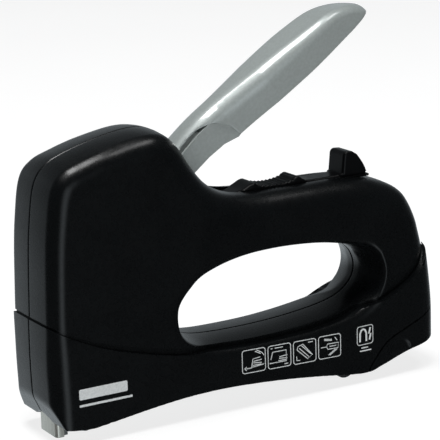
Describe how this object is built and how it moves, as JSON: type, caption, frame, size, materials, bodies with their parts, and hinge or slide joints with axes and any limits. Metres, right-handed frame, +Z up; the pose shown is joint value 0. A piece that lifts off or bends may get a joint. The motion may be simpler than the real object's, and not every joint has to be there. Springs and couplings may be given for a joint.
{
  "type": "hand tacker",
  "caption": "Squeeze-lever hand tacker: black two-shell body with grip opening, silver lever, sliding lever lock, spring hammer, steel nose and rear-loading magazine.",
  "frame": {"origin": "bottom centre of the steel nose's front face, where a staple leaves the tool; the nose face is at Z = 0", "axes": "+X from the nose towards the rear cap, along the magazine; +Z up, against the direction a staple is driven; Y = 0 is the seam between the two shells, with the printed left shell on -Y"},
  "size_m": [0.1798, 0.039, 0.1531],
  "materials": {
    "body_plastic": "near-black moulded plastic, fine satin gloss",
    "lock_plastic": "black moulded plastic, matt",
    "foot_plastic": "black plastic foot",
    "lever_silver": "silver-grey enamel, glossy",
    "lever_steel": "silver-grey enamel on pressed steel",
    "nose_steel": "bright ground steel",
    "plain_steel": "zinc-plated pressed steel",
    "screw_steel": "plated steel",
    "spring_steel": "drawn spring steel",
    "hammer_steel": "dark hardened steel",
    "bumper_rubber": "black rubber",
    "magnet_ferrite": "dark grey ferrite",
    "pusher_plastic": "dark grey plastic"
  },
  "bodies": {
    "housing": {"housing_left": "body_plastic", "housing_right": "body_plastic", "housing_screws": "screw_steel", "rear_foot": "foot_plastic", "frame_plate_left": "plain_steel", "frame_plate_right": "plain_steel", "frame_spacers": "plain_steel", "nose_plate": "nose_steel", "blade_guide": "plain_steel", "bumper_bracket": "plain_steel", "bumper": "bumper_rubber", "spring_cap": "plain_steel", "main_spring": "spring_steel", "lever_pivot_pin": "screw_steel", "lever_return_spring": "spring_steel", "lock_detent_spring": "spring_steel", "magazine_channel": "plain_steel", "channel_rivets": "screw_steel", "magazine_catch": "spring_steel", "magazine_magnet": "magnet_ferrite"},
    "hammer": {"hammer": "hammer_steel", "driver_blade": "nose_steel", "driver_pin": "screw_steel"},
    "lever": {"lever_arm": "lever_steel", "lever_grip": "lever_silver", "lever_rivet": "screw_steel", "lifter_rollers": "screw_steel", "roller_pins": "screw_steel"},
    "lock": {"lock_slide": "lock_plastic"},
    "magazine": {"magazine_rail": "plain_steel", "rear_cap": "body_plastic", "cap_pin": "screw_steel", "pusher_rod": "screw_steel", "pusher_spring": "spring_steel"},
    "pusher": {"pusher": "pusher_plastic"}
  },
  "joints": [
    {"name": "lever_squeeze", "type": "hinge", "parent": "housing", "child": "lever", "pos_m": [0.048, 0, 0.096], "axis": [0, 1, 0], "range_deg": [0, 30], "stiffness_Nm_per_rad": 0.3, "springref_deg": -57.3},
    {"name": "hammer_lift", "type": "slide", "parent": "housing", "child": "hammer", "axis": [0, 0, 1], "range_m": [0, 0.0168], "deforming": ["main_spring"]},
    {"name": "lock_slide_travel", "type": "slide", "parent": "housing", "child": "lock", "axis": [-1, 0, 0], "range_m": [0, 0.006]},
    {"name": "magazine_pull", "type": "slide", "parent": "housing", "child": "magazine", "axis": [1, 0, 0], "range_m": [0, 0.115]},
    {"name": "pusher_travel", "type": "slide", "parent": "magazine", "child": "pusher", "axis": [1, 0, 0], "range_m": [0, 0.085], "stiffness_N_per_m": 15, "springref_m": -0.08, "deforming": ["pusher_spring"]}
  ],
  "couplings": [
    {"joint": "hammer_lift", "follows": "lever_squeeze", "m_per_rad": 0.0319}
  ]
}
